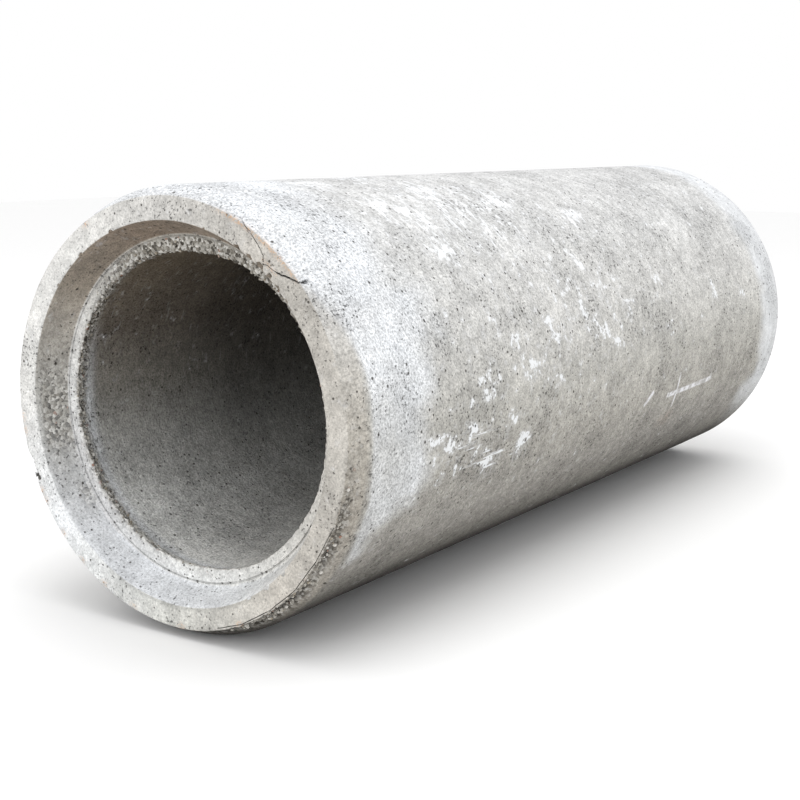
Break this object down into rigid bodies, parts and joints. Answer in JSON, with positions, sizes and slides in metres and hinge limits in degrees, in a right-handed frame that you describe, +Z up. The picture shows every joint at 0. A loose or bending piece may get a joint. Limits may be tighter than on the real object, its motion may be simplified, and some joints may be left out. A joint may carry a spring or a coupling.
{
  "type": "concrete sewer pipe",
  "caption": "Straight cast concrete sewer pipe with a tapered socket sunk into one end of its wall and a matching tapered tongue at the other.",
  "frame": {"origin": "on the ground, under the middle of the pipe as it lies on its side", "axes": "+X along the pipe's axis from the socket end to the tongue end, +Z up"},
  "size_m": [1.026, 0.41, 0.4099],
  "materials": {
    "concrete": "matte"
  },
  "bodies": {
    "root": {"pipe": "concrete"}
  },
  "joints": []
}
